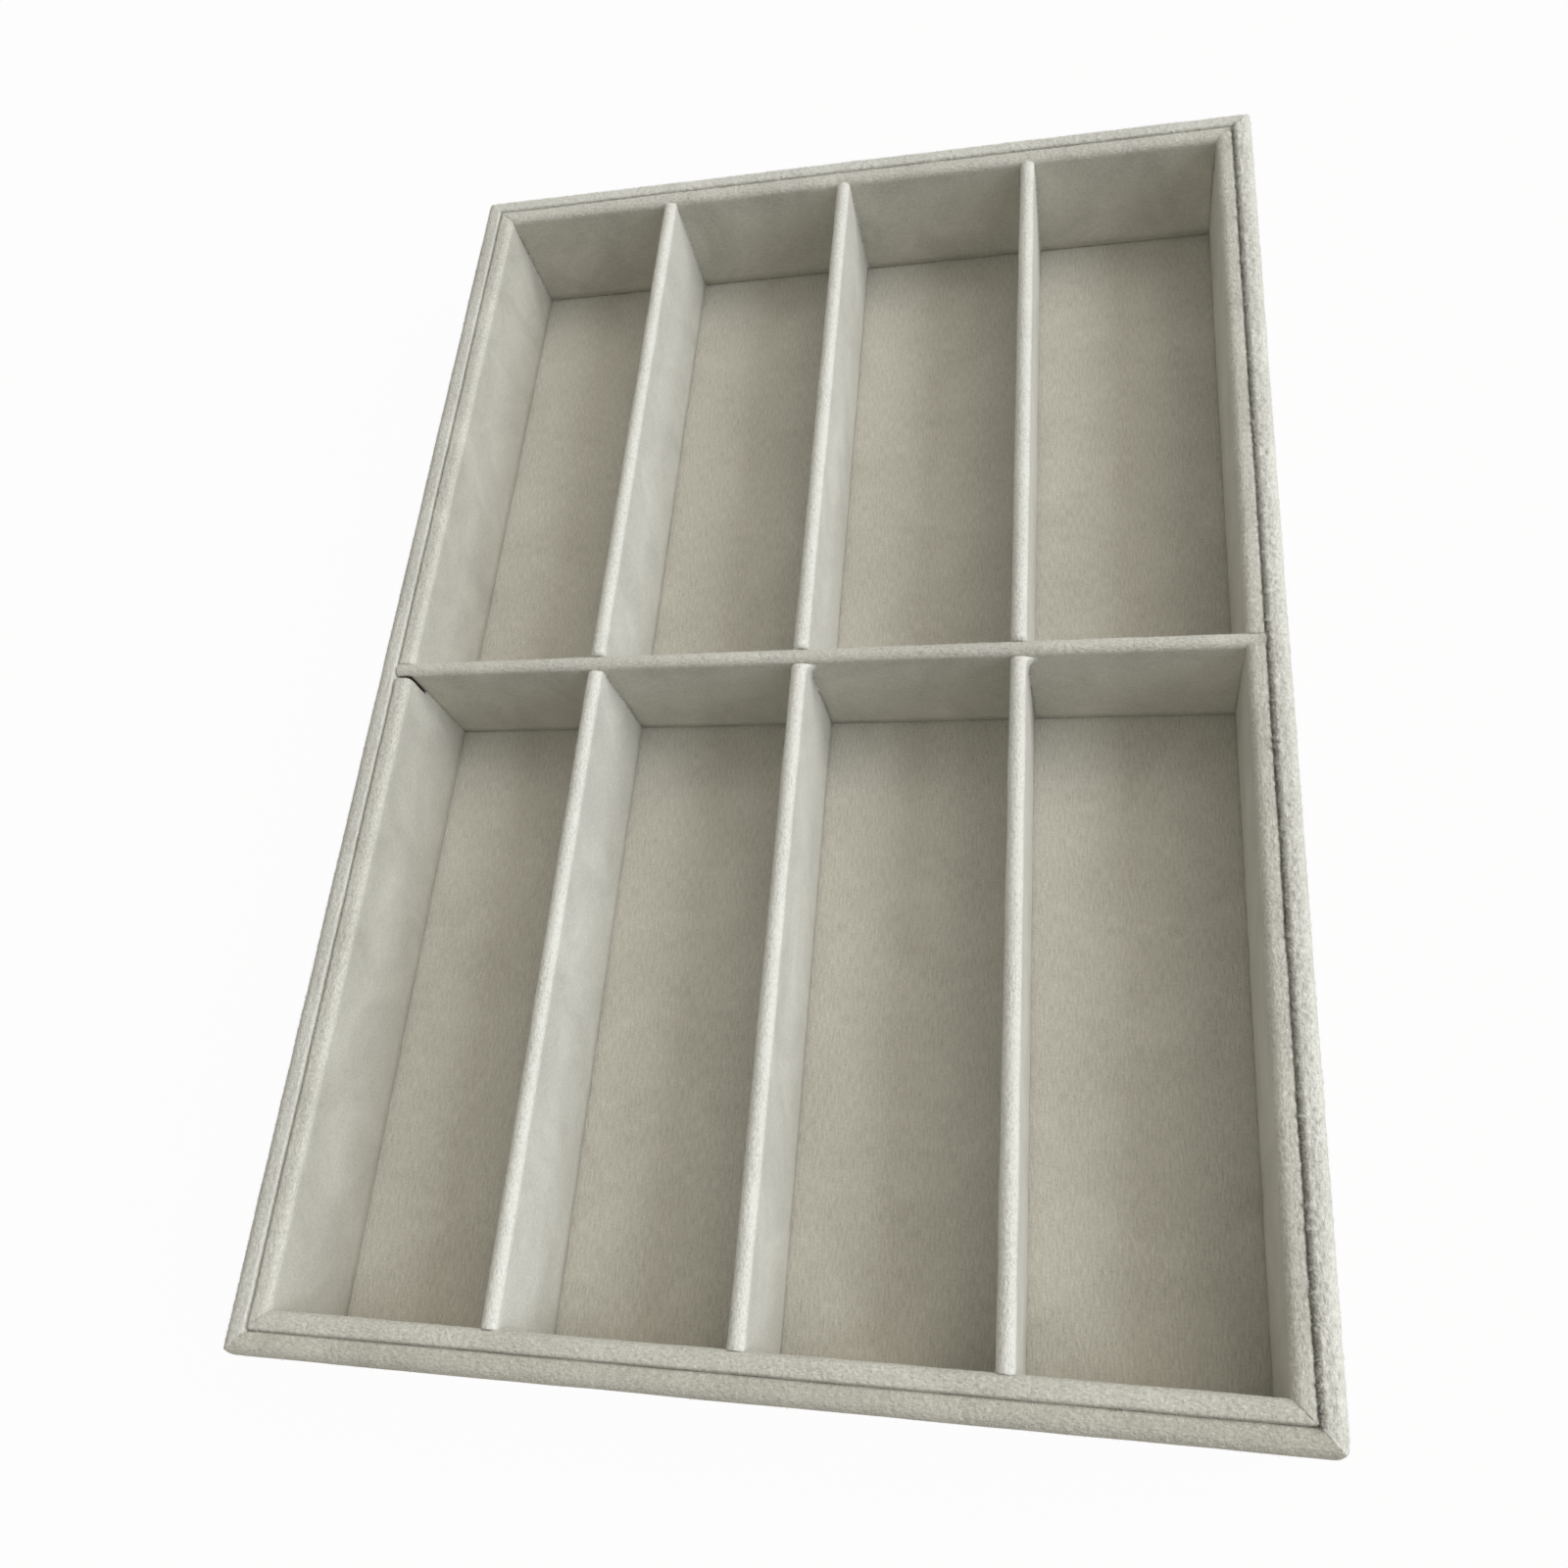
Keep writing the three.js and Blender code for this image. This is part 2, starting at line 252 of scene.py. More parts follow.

# %% [markdown]
# ### One bolt, many shades
# Pile leans, so velvet looks paler or deeper in shade as its nap turns to the eye or away from it, which
# changes with the light and the view. A shader could work this out from the way the pile leans. Here each
# wrap instead gets its own copy of the velvet, with its own base shade and crest: lit and shaded copies of
# one material, which is painted light and shade. The front wall's copy is darker, with little painted
# highlight on its fold; the right and back walls' copies are paler, with more; the long dividers' copy is
# the palest. The floor lies flat and is brushed evenly, so it shows its ribs more and its patches less.

# %% Lit and shaded copies of the velvet
outer_velvet = knitted_velvet("knitted_velvet_outer_wrap", "#aaa79f", "#fcfbf4", base_shade=0.45, crest=0.25,
                              tuft_share=0.9)
painted_shade_velvet = knitted_velvet("knitted_velvet_painted_shade_wrap", "#aaa699", "#fcf9ee", base_shade=0.42, crest=0.07,
                             tuft_share=0.9)
painted_light_velvet = knitted_velvet("knitted_velvet_painted_light_wrap", "#aaa79f", "#fcfbf4", base_shade=0.5, crest=0.33,
                               tuft_share=1.4)
# The palest copy, for the long dividers: painted light on their faces and a stronger painted highlight on
# their tops.
divider_painted_light_velvet = knitted_velvet("knitted_velvet_against_nap", "#aaa79f", "#fcfbf4", base_shade=0.6, crest=0.35,
                              rib_share=0.25, tuft_share=1.3)
floor_velvet = knitted_velvet("knitted_velvet_floor", "#ada89c", "#fdfaf0", base_shade=0.5,
                              rib_share=0.6, patch_share=0.4)
print("finishes:", [item.name for item in bpy.data.materials if item.name.startswith("knitted_velvet")])

# %% [markdown]
# ### Boards and card
# The boards only show at cut edges and under a lifted divider. Fibreboard is pressed wood dust with short
# brown fibres in it. Greyboard is pressed waste paper with dark and pale flecks. The card on the underside
# is calendered, which means rolled smooth, so it has a faint gloss and an even tone. The CAD solids are
# shown as they are, and one noise of the flecks' size is enough for so little of them.

# %% Fibreboard, greyboard and card
def pressed_fibres(name, dark, light, fleck, roughness):
    """A board of pressed fibres, with flecks of that size."""
    material, tree = new_material(name)
    place = add_node(tree, "ShaderNodeTexCoord")
    flecks = add_node(tree, "ShaderNodeTexNoise", {
        "Vector": place.outputs["Object"], "Scale": 1 / fleck, "Detail": 6, "Roughness": 0.7,
        "Distortion": 1.5})
    colour = add_node(tree, "ShaderNodeValToRGB", {"Fac": flecks.outputs["Fac"]})
    colour.color_ramp.elements[0].position = 0.3
    colour.color_ramp.elements[0].color = linear(dark)
    colour.color_ramp.elements[1].position = 0.7
    colour.color_ramp.elements[1].color = linear(light)
    relief = add_node(tree, "ShaderNodeBump", {
        "Height": flecks.outputs["Fac"], "Strength": 0.25, "Distance": 0.1 * MM})
    surface = add_node(tree, "ShaderNodeBsdfPrincipled", {
        "Base Color": colour.outputs["Color"], "Normal": relief.outputs["Normal"],
        "Roughness": roughness})
    add_node(tree, "ShaderNodeOutputMaterial", {"Surface": surface.outputs["BSDF"]})
    return material


fibreboard = pressed_fibres("pressed_fibreboard", "#8f6f4a", "#b99a70", fleck=1.5 * MM, roughness=0.9)
greyboard = pressed_fibres("recycled_greyboard", "#8d877c", "#b5afa3", fleck=2 * MM, roughness=0.95)
card = pressed_fibres("calendered_card", "#b3ae9f", "#c0bcaf", fleck=6 * MM, roughness=0.7)
# The velvet solids get a finish too, but the cloth will stand for them.
for name, node in frame["nodes"].items():
    finish = greyboard
    if name == "underside_card":
        finish = card
    elif "base" in name or "wall_board" in name:
        finish = fibreboard
    node.data.materials.clear()
    node.data.materials.append(finish)
print("boards dressed:", sum(name.endswith(("board", "card")) for name in frame["nodes"]))

# %% [markdown]
# ## The wraps
# A wrap is one strip of velvet, glued over a board's rounded edge and down both of its sides. Its section
# is the same all along, so it is drawn once as a profile and swept. A curve could be swept too, but a mesh
# can be cut and roughened afterwards. The profile is drawn as with a pen: one vertex is spun round a centre
# where the cloth bends over an edge, and a spin with no angle but a sideways step draws the straight parts.

# %% The pen
QUARTER = math.pi / 2


def vertices_in(geometry):
    """The vertices among the parts that an operator made."""
    return [item for item in geometry if isinstance(item, bmesh.types.BMVert)]


def straight(bm, tip, place, parts):
    """Carry the profile's end in a straight line to a new place, in equal parts."""
    stride = (Vector(place) - tip.co) / parts
    spun = bmesh.ops.spin(bm, geom=[tip], axis=(1, 0, 0), angle=0, dvec=stride, steps=parts)
    return vertices_in(spun["geom_last"])[0]


def bend(bm, tip, centre, angle, parts):
    """Spin the profile's end round a centre, about the X axis."""
    spun = bmesh.ops.spin(bm, geom=[tip], cent=centre, axis=(1, 0, 0), angle=angle, steps=parts)
    return vertices_in(spun["geom_last"])[0]


print("a full bend, degrees:", round(math.degrees(QUARTER)))

# %% [markdown]
# ### Over a rim
# Every wrap goes up one side of a board, over its top and down the other side. The top's two shoulders are
# each rounded by their own radius: wide where the cloth runs on down a free side, and tight where it goes
# into a groove. A bevel on a square fold would give both the same, so each bend is drawn on its own.

# %% Draw a fold
STEP = 0.45 * MM  # fine enough to carry the tufts on a fold
LEG_STEP = 3 * MM  # coarser, where the cloth lies flat on its board
LEG_PARTS = 6  # the fewest that a leg is drawn in
BEND_PARTS = 4  # the fewest that a bend is drawn in
GROOVE_PARTS = 2  # between a shoulder and the pile that fills a groove
SHORTEST_FLAT = 0.1 * MM


def over_shoulder(bm, tip, centre_y, radius):
    """Bend the profile's end a quarter turn over one shoulder of a rim."""
    parts = max(BEND_PARTS, round(QUARTER * radius / STEP))
    return bend(bm, tip, (0, centre_y, RIM - radius), -QUARTER, parts)


def over_rim(bm, tip, near, far, near_round, far_round):
    """Carry the profile over a rim, whose two shoulders are each rounded by their own radius."""
    near_centre = near + near_round
    far_centre = far - far_round
    tip = over_shoulder(bm, tip, near_centre, near_round)
    flat = far_centre - near_centre
    if flat > SHORTEST_FLAT:
        tip = straight(bm, tip, (0, far_centre, RIM), max(1, round(flat / STEP)))
    return over_shoulder(bm, tip, far_centre, far_round)


def fold_over(bm, near, far, near_bottom, far_bottom, near_round, far_round, fill=0, fill_depth=3 * MM):
    """The profile of cloth folded over a board's top edge, from its near leg to its far one.

    The near leg stands out by the fill, up to the fill's depth below the rim.
    """
    start = (0, near - fill, near_bottom)
    near_parts = max(LEG_PARTS, round((RIM - near_bottom) / LEG_STEP))
    far_parts = max(LEG_PARTS, round((RIM - far_bottom) / LEG_STEP))
    tip = straight(bm, bm.verts.new(start), (0, near - fill, RIM - fill_depth), near_parts)
    tip = straight(bm, tip, (0, near, RIM - near_round), GROOVE_PARTS)
    tip = over_rim(bm, tip, near, far, near_round, far_round)
    straight(bm, tip, (0, far, far_bottom), far_parts)
    return start


print("profile step, mm:", STEP / MM)

# %% [markdown]
# ### Sweep
# The sweep is one long extrude along X, subdivided finely enough to carry tufts. Each vertex keeps its
# girth, which is its way along the profile, because the cloth laid flat is measured by it. Extrude keeps no
# order among the parts that it makes, and the loose fibres are strewn face by face. So the parts are sorted
# by place, and every run of this lesson gives the same tray.

# %% Sweep a profile
PLACE_DIGITS = 6  # of a metre, when parts are sorted by place


def in_order(bm):
    """Sort a mesh's parts by place."""
    def place(part):
        points = [part] if isinstance(part, bmesh.types.BMVert) else part.verts[:]
        middle = sum((vertex.co for vertex in points), Vector()) / len(points)
        return tuple(round(value, PLACE_DIGITS) for value in middle)

    for parts in (bm.verts, bm.edges, bm.faces):
        rank = {part: number for number, part in enumerate(sorted(parts, key=place))}
        parts.sort(key=rank.get)


def measure_girth(bm, start):
    """Follow the profile from its start, and keep the way to each vertex as its girth."""
    girth = bm.verts.layers.float.new("girth")
    vertex = min(bm.verts, key=lambda v: (v.co - Vector(start)).length)
    edge = vertex.link_edges[0]
    while edge:
        onward = edge.other_vert(vertex)
        onward[girth] = vertex[girth] + edge.calc_length()
        vertex = onward
        edge = next((e for e in vertex.link_edges if e != edge), None)


def sweep(bm, start, half_run):
    """Sweep the profile along X in equal steps, with its outside up."""
    measure_girth(bm, start)
    bmesh.ops.translate(bm, verts=bm.verts, vec=(-half_run, 0, 0))
    drawn = bmesh.ops.extrude_edge_only(bm, edges=bm.edges[:])
    bmesh.ops.translate(bm, verts=vertices_in(drawn["geom"]), vec=(2 * half_run, 0, 0))
    in_order(bm)
    along = [edge for edge in bm.edges if edge.verts[0].co.x != edge.verts[1].co.x]
    parts = round(2 * half_run / STEP)
    bmesh.ops.subdivide_edges(bm, edges=along, cuts=parts - 1, use_grid_fill=True)
    for vertex in bm.verts:
        share = round((vertex.co.x / half_run + 1) * parts / 2) / parts
        vertex.co.x = half_run * (2 * share - 1)
    in_order(bm)
    crest = max(bm.faces, key=lambda face: face.calc_center_median().z)
    crest.normal_update()
    if crest.normal.z < 0:
        bmesh.ops.reverse_faces(bm, faces=bm.faces)


print("steps along the longest side:", round(2 * HALF_LENGTH / STEP))

# %% [markdown]
# ## Cuts
# Velvet is cut with its board. A Boolean modifier needs a closed solid, and this cloth is one open layer,
# so it is cut with planes. A mitre is one cut that clears everything outside its plane. A notch or slot is
# cut with four planes that clear nothing, and then the faces between them are deleted.

# %% Mitre and slot
SEAM = 0.01 * MM  # what the pile leaves open at a mitre, on each side
ON_CUT = 0.0001 * MM  # a vertex this near a cut lies on it


def cut(bm, point, normal, clear_outer=False):
    """Cut the whole mesh with a plane."""
    everything = bm.verts[:] + bm.edges[:] + bm.faces[:]
    bmesh.ops.bisect_plane(bm, geom=everything, dist=ON_CUT, plane_co=point, plane_no=normal,
                           clear_outer=clear_outer)


def mitre(bm, half_run):
    """Cut both ends back at 45 degrees, shorter further in."""
    for end in (-1, 1):
        cut(bm, (end * (half_run - SEAM), 0, 0), (end, 1, 0), clear_outer=True)
    in_order(bm)


def slot(bm, low_x, high_x, low_z, high_z):
    """Cut away the cloth inside a box that goes right through the piece."""
    for x in (low_x, high_x):
        cut(bm, (x, 0, 0), (1, 0, 0))
    for z in (low_z, high_z):
        cut(bm, (0, 0, z), (0, 0, 1))
    inside = []
    for face in bm.faces:
        middle = face.calc_center_median()
        if low_x < middle.x < high_x and low_z < middle.z < high_z:
            inside.append(face)
    bmesh.ops.delete(bm, geom=inside, context="FACES")


print("mitre seam, mm:", 2 * SEAM / MM)

# %% [markdown]
# ## Pile
# Pile is never smooth. Over a fold it opens into tufts, on a face it lies flat, and near a cut it sinks
# over the edge. Where velvet is pulled tight beside a groove, the pile stands up and sticks together in
# clumps. A Displace modifier could move it by a texture, but the folds and cuts would have to be painted as
# weights, so each vertex is moved along its normal here. The noise has no random state and is the same in
# every run. The attribute "fold" says where the pile is open, for the material and the loose fibres. The
# attribute "fray" says where larger fibres stand: along cuts in the flat cloth, and on a bristly shoulder.

# %% Roughen the cloth
FULLNESS = 0.14 * MM  # how much thicker the open pile stands on a fold
FOLD_GAIN = 1.4  # the pile is fully open before the cloth lies quite level
TUFT_HEIGHT = 0.15 * MM
TUFT_WIDTH = 1.5 * TUFT  # wider than the material's specks, because the mesh carries none that are finer
WAVE = 14 * MM  # the cloth's slow unevenness
WAVE_HEIGHT = 0.12 * MM
WAVE_LAYER = 100  # added to a piece's seed, so that this noise is not that of the tufts
CLUMP = 1.1 * MM
CLUMP_HEIGHT = 1.6 * MM
CLUMP_LAYER = 200
TOP_CLUMPS = 0.5  # how much of the clumps is left on top of a rim
FRAY = 0.6 * MM  # how far from a cut the cloth frays
FLAT_SINK = 0.3  # how much of the sinking is left at a cut in a flat face
NO_CUT = 1 * MM  # the distance that is given where no cut is near


def smoothstep(value):
    """0 below 0, 1 above 1, and a smooth way between them."""
    value = min(1, max(0, value))
    return value * value * (3 - 2 * value)


def raise_pile(bm, cut_distance, roll, seed, bristle=0):
    """Move the pile. cut_distance(co) is how far the nearest cut is, and within the roll the cloth sinks.

    A bristle above 0 stands up on the shoulder that faces +Y, one below 0 on the shoulder that faces -Y.
    """
    fold_layer = bm.verts.layers.float.new("fold")
    fray_layer = bm.verts.layers.float.new("fray")
    girth_layer = bm.verts.layers.float["girth"]
    bm.normal_update()
    normals = [vertex.normal.copy() for vertex in bm.verts]
    for vertex, normal in zip(bm.verts, normals):
        co = vertex.co
        girth = vertex[girth_layer]
        fold = smoothstep(FOLD_GAIN * normal.z)
        tuft = noise.noise((co.x / TUFT_LENGTH, girth / TUFT_WIDTH, seed)) * fold
        wave = noise.noise((co.x / WAVE, girth / WAVE, seed + WAVE_LAYER))
        to_cut = max(0, cut_distance(co))
        near = max(0, 1 - to_cut / roll)
        sink = roll * (1 - math.sqrt(1 - near * near)) * max(fold, FLAT_SINK)
        # Twice y times z is 1 where a shoulder slants by 45 degrees.
        shoulder = max(0, 2 * bristle * normal.y) * max(0, normal.z)
        clump = max(0, noise.noise((co.x / CLUMP, girth / CLUMP, seed + CLUMP_LAYER)))
        clump *= max(shoulder, abs(bristle) * fold * TOP_CLUMPS)
        vertex[fold_layer] = fold
        vertex[fray_layer] = max(shoulder, max(0, 1 - to_cut / FRAY) * (1 - fold))
        vertex.co += normal * (fold * FULLNESS + tuft * TUFT_HEIGHT + wave * WAVE_HEIGHT - sink)
        vertex.co += normal * clump * CLUMP_HEIGHT


print("tufts and clumps stand up to, mm:", TUFT_HEIGHT / MM, CLUMP_HEIGHT / MM)

# %% [markdown]
# ### The cloth laid flat
# A strip of velvet is cut before it is glued on, so its ribs and tufts follow the flat strip. Unwrapping
# could find that strip again, but the sweep already knows it: its width is the girth and its length is X.

# %% Lay the cloth flat
def lay_flat(bm):
    """Make the UV map, which is the cloth laid flat in metres: U over the board, V along it.

    What comes back is the cloth's girth, over the whole board.
    """
    uv = bm.loops.layers.uv.new("cloth")
    girth = bm.verts.layers.float["girth"]
    for face in bm.faces:
        for corner in face.loops:
            corner[uv].uv = (corner.vert[girth], corner.vert.co.x)
    return max(vertex[girth] for vertex in bm.verts)


print("ribs across 10 mm of flat cloth:", round(10 * MM / RIB))

# %% [markdown]
# ## From mesh to piece
# A piece rides on the body that carries it and stands for the CAD solid of the same cloth. The Solidify
# modifier gives the cut edges the cloth's thickness. Only the rim is made, because the back of the cloth is
# glued to a board and is never seen.

# %% Make a piece of cloth
VELVET = 0.8 * MM  # backing cloth and pile together


def cloth_piece(bm, name, body, finish):
    """Make the mesh a piece of velvet, which is glued to the board of the same name."""
    mesh = bpy.data.meshes.new(f"{name}_cloth")
    bm.to_mesh(mesh)
    bm.free()
    mesh.shade_smooth()
    mesh.materials.append(finish)
    piece = bpy.data.objects.new(mesh.name, mesh)
    bpy.context.scene.collection.objects.link(piece)
    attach(piece, body)
    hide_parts(f"{name}_velvet")
    return piece


def thicken(piece):
    """Give the cut edges their thickness."""
    edge = piece.modifiers.new("cloth_thickness", "SOLIDIFY")
    edge.thickness = VELVET
    edge.offset = -1
    edge.use_rim_only = True


cloths = []
print("cloth thickness, mm:", VELVET / MM)

# %% [markdown]
# ## The four sides
# A side of the tray is an outer wall and a liner board inside it, each in its own velvet, mitred at both
# ends. Each is drawn lying along X, with the tray's outside on y = 0, and is then turned and moved to its
# place, so that four sides need one set of profiles. The tray's upright corners are rounded by pulling in
# what stands outside a quarter circle, which keeps the mesh's even steps, as a bevel would not.

# %% Place and round the sides
CORNER = 3 * MM
# Each side has its name, its quarter turns, half its length, and half the tray's size across it.
SIDES = [("front", 0, HALF_WIDTH, HALF_LENGTH), ("right", 1, HALF_LENGTH, HALF_WIDTH),
         ("back", 2, HALF_WIDTH, HALF_LENGTH), ("left", 3, HALF_LENGTH, HALF_WIDTH)]


def place_side(bm, quarters, half_across):
    """Turn a side by its quarter turns, and move it out to its place."""
    turn = Matrix.Rotation(quarters * QUARTER, 3, "Z")
    bmesh.ops.rotate(bm, verts=bm.verts, cent=(0, 0, 0), matrix=turn)
    bmesh.ops.translate(bm, verts=bm.verts, vec=turn @ Vector((0, -half_across, 0)))


def round_corners(bm, half_run):
    """Pull the ends of an outer wrap in to the rounded upright corners."""
    for vertex in bm.verts:
        beyond = abs(vertex.co.x) - (half_run - CORNER)
        short = CORNER - vertex.co.y
        reach = math.hypot(beyond, short)
        if beyond > 0 and short > 0 and reach > CORNER:
            vertex.co.x = math.copysign(half_run - CORNER + beyond * CORNER / reach, vertex.co.x)
            vertex.co.y = CORNER - short * CORNER / reach


print("sides:", [side[0] for side in SIDES])

# %% [markdown]
# ### Outer wraps
# The outer velvet starts with a hem under the base, goes up the outside, over the rim and down the inside.
# A narrow groove parts it from the liner. The pile on both sides stands out into the groove until it nearly
# meets, so only a thin dark line shows. On the right the velvet is pulled tighter, the groove is more
# open, and the pile stands up in bristly clumps along it. One profile with a few sizes for each side makes
# all four.

# %% Wrap the outer walls
OUTER_ROUND = 2.6 * MM
GROOVE_ROUND = {"front": 0.7 * MM, "right": 1.0 * MM, "back": 0.7 * MM, "left": 0.7 * MM}
GROOVE_DEPTH = {"front": 1.5 * MM, "right": 3.0 * MM, "back": 1.5 * MM, "left": 1.5 * MM}
GROOVE_SLIT = 0.03 * MM  # half of what stays open where the pile nearly meets
GROOVE_FILL = (LINER_BACK - WALL) / 2 - GROOVE_SLIT
PULL = {"front": 0, "right": 0.15 * MM, "back": 0, "left": 0}  # away from the groove
BRISTLE = {"front": 0.15, "right": 0.9, "back": 0.4, "left": 0.15}
# Painted light and shade by side: the front wall gets the darker copy of the velvet, and the right and back
# walls get the paler one.
PAINTED_SHADE_BY_SIDE = {"front": painted_shade_velvet, "right": painted_light_velvet, "back": painted_light_velvet, "left": outer_velvet}
HEM_PARTS = 5
TURN_PARTS = 3
OUTSIDE_PARTS = 14
INSIDE_PARTS = 8
SIDE_ROLL = 0.8 * MM


def no_cut(co):
    """A wall has no cuts but its mitres, and there the cloth does not sink."""
    return NO_CUT


for name, quarters, half_run, half_across in SIDES:
    bm = bmesh.new()
    start = (0, WALL_HEM, HEM_BOTTOM)
    inside = WALL + GROOVE_FILL
    tip = straight(bm, bm.verts.new(start), (0, VELVET, HEM_BOTTOM), HEM_PARTS)
    tip = bend(bm, tip, (0, VELVET, HEM_BOTTOM + VELVET), -QUARTER, TURN_PARTS)
    tip = straight(bm, tip, (0, 0, RIM - OUTER_ROUND), OUTSIDE_PARTS)
    tip = over_rim(bm, tip, 0, WALL - PULL[name], OUTER_ROUND, GROOVE_ROUND[name])
    tip = straight(bm, tip, (0, inside, RIM - GROOVE_DEPTH[name]), GROOVE_PARTS)
    straight(bm, tip, (0, inside, WALL_FOOT), INSIDE_PARTS)
    sweep(bm, start, half_run)
    mitre(bm, half_run)
    girth = lay_flat(bm)
    round_corners(bm, half_run)
    raise_pile(bm, no_cut, SIDE_ROLL, quarters, BRISTLE[name])
    place_side(bm, quarters, half_across)
    cloths.append(cloth_piece(bm, f"{name}_wall", "tray", PAINTED_SHADE_BY_SIDE[name]))
    print(name, "wall's velvet, girth mm:", round(girth / MM, 1))

# %% [markdown]
# ### Liner wraps
# The liner's velvet is turned down behind its board, goes over the rim and down the inner face to the
# floor. The left and right sides have a notch that is open at the top, for the cross divider's ears. On the
# real tray the left notch is wider than its ear, which leaves a dark gap in front of it. Elsewhere the pile
# is pressed against the ears, so there the cloth goes a little into them and leaves no gap.

# %% Wrap the liner
LINER_HEM = 20 * MM  # how far the velvet goes down behind its board
LINER_ROUND = 2.1 * MM
EAR_HEIGHT = 10 * MM
EAR_BOTTOM = RIM - EAR_HEIGHT
NOTCHES = {"left": 1.1 * MM, "right": -0.5 * MM}  # the gap beside an ear, below 0 where pile is pressed
PRESSED = 0.5 * MM  # how far pile is pressed on an ear's other side, and at a long divider's ends
NOTCH_ROOM = 0.3 * MM  # below an ear
OVER_RIM = RIM + 1 * MM  # safely above the cloth
LINER_BRISTLE = -0.3  # a share of the wall's, on the groove's other shoulder
LINER_SEED = 10


def corner_distance(half_run):
    """Make the function that says how far the liner's inner corner is, below the ears."""
    def distance(co):
        inside = co.z < EAR_BOTTOM and co.y > LINER_FACE - LINER / 2
        return half_run - LINER_FACE - abs(co.x) if inside else NO_CUT

    return distance


for name, quarters, half_run, half_across in SIDES:
    bm = bmesh.new()
    start = fold_over(bm, LINER_BACK, LINER_FACE, RIM - LINER_HEM, STAND, GROOVE_ROUND[name],
                      LINER_ROUND, GROOVE_FILL, GROOVE_DEPTH[name])
    half_liner = half_run - LINER_BACK
    sweep(bm, start, half_liner)
    mitre(bm, half_run)
    if name in NOTCHES:
        slot(bm, PRESSED - DIVIDER / 2, DIVIDER / 2 + NOTCHES[name], EAR_BOTTOM - NOTCH_ROOM, OVER_RIM)
    girth = lay_flat(bm)
    bristle = LINER_BRISTLE * BRISTLE[name]
    raise_pile(bm, corner_distance(half_run), SIDE_ROLL, LINER_SEED + quarters, bristle)
    place_side(bm, quarters, half_across)
    cloths.append(cloth_piece(bm, f"{name}_liner", "tray", velvet))
    print(name, "liner's velvet, girth mm:", round(girth / MM, 1))

# %% [markdown]
# ## The dividers
# The three long dividers are slotted from above and the cross divider from below, so that they lap half
# into each other. Velvet is cut at each slot, and in front of the cross divider its cut edge has come off
# the board at two of the crossings. A simulation could lift it, but the shape is small and known, so the
# vertices near the edge are moved. A long divider's ends are pressed a little into the liner's pile.

# %% Wrap the long dividers
LAP_ROOM = 0.15 * MM
LAP = DIVIDER / 2 + LAP_ROOM
LIFTS = {"left": 0.3 * MM, "middle": 2.2 * MM, "right": 2.4 * MM}  # how far a cut edge stands off
LIFT_LEVEL = RIM - 3 * MM
LIFT_HEIGHT = 4 * MM
LIFT_WIDTH = 2.6 * MM
BACK_TIGHTNESS = 3  # behind the cross divider the cloth sinks a third as far from the cut
END_TIGHTNESS = 2  # and half as far at the ends
DIVIDER_ROLL = 1.2 * MM
DIVIDER_SEED = 20


def lap_distance(co):
    """How far the lap's slot is, or the divider's end below its rounded top."""
    to_slot = abs(co.x) - LAP if co.z > LAP_LEVEL else NO_CUT
    to_end = DIVIDER_END - abs(co.x) if co.z < RIM - DIVIDER else NO_CUT
    return min(BACK_TIGHTNESS * to_slot if co.x > 0 else to_slot, END_TIGHTNESS * to_end)


def lift_edge(bm, lift):
    """Let the cloth's cut edge stand off its board, high up in front of the cross divider."""
    for vertex in bm.verts:
        beside = 1 - (-LAP - vertex.co.x) / LIFT_WIDTH
        level = 1 - abs(vertex.co.z - LIFT_LEVEL) / LIFT_HEIGHT
        if vertex.co.y < 0 and 0 < beside <= 1 and level > 0:
            vertex.co.y -= lift * beside ** 2 * smoothstep(level)


for index, (name, x) in enumerate(DIVIDERS.items()):
    bm = bmesh.new()
    start = fold_over(bm, -DIVIDER / 2, DIVIDER / 2, STAND, STAND, DIVIDER / 2, DIVIDER / 2)
    sweep(bm, start, DIVIDER_END + PRESSED)
    slot(bm, -LAP, LAP, LAP_LEVEL - LAP_ROOM, OVER_RIM)
    girth = lay_flat(bm)
    raise_pile(bm, lap_distance, DIVIDER_ROLL, DIVIDER_SEED + index)
    lift_edge(bm, LIFTS[name])
    bmesh.ops.rotate(bm, verts=bm.verts, cent=(0, 0, 0), matrix=Matrix.Rotation(QUARTER, 3, "Z"))
    bmesh.ops.translate(bm, verts=bm.verts, vec=(x, 0, 0))
    # The long dividers get the palest copy of the velvet, which is painted light.
    cloths.append(cloth_piece(bm, f"{name}_divider", "long_dividers", divider_painted_light_velvet))
print("long dividers, girth mm:", round(girth / MM, 1))

# %% [markdown]
# ### Cross divider
# The cross divider's top runs on unbroken over the long ones, and its two ears hang in the liner's notches.
# Below its rounded top an ear is left bare, so that it goes into its notch, and in the gap in front of the
# left ear its darker board stands in for shade. So the same wrap is cut away there, as well as at the three
# slots.

# %% Wrap the cross divider
EAR_TRIM = RIM - 1.1 * MM
BODY_END = HALF_WIDTH - LINER_FACE + 0.2 * MM  # the body is pressed a little into the liner's pile
PAST_EAR = EAR_END + 1 * MM  # safely beyond the cloth
UNDER = STAND - 1 * MM  # safely below it
CROSS_SEED = 30


def cross_distance(co):
    """How far the nearest lap slot is, below the lap, or the body's end below an ear."""
    to_slot = min(abs(co.x - x) for x in DIVIDERS.values()) - LAP if co.z < LAP_LEVEL else NO_CUT
    return min(to_slot, BODY_END - abs(co.x) if co.z < EAR_BOTTOM else NO_CUT)


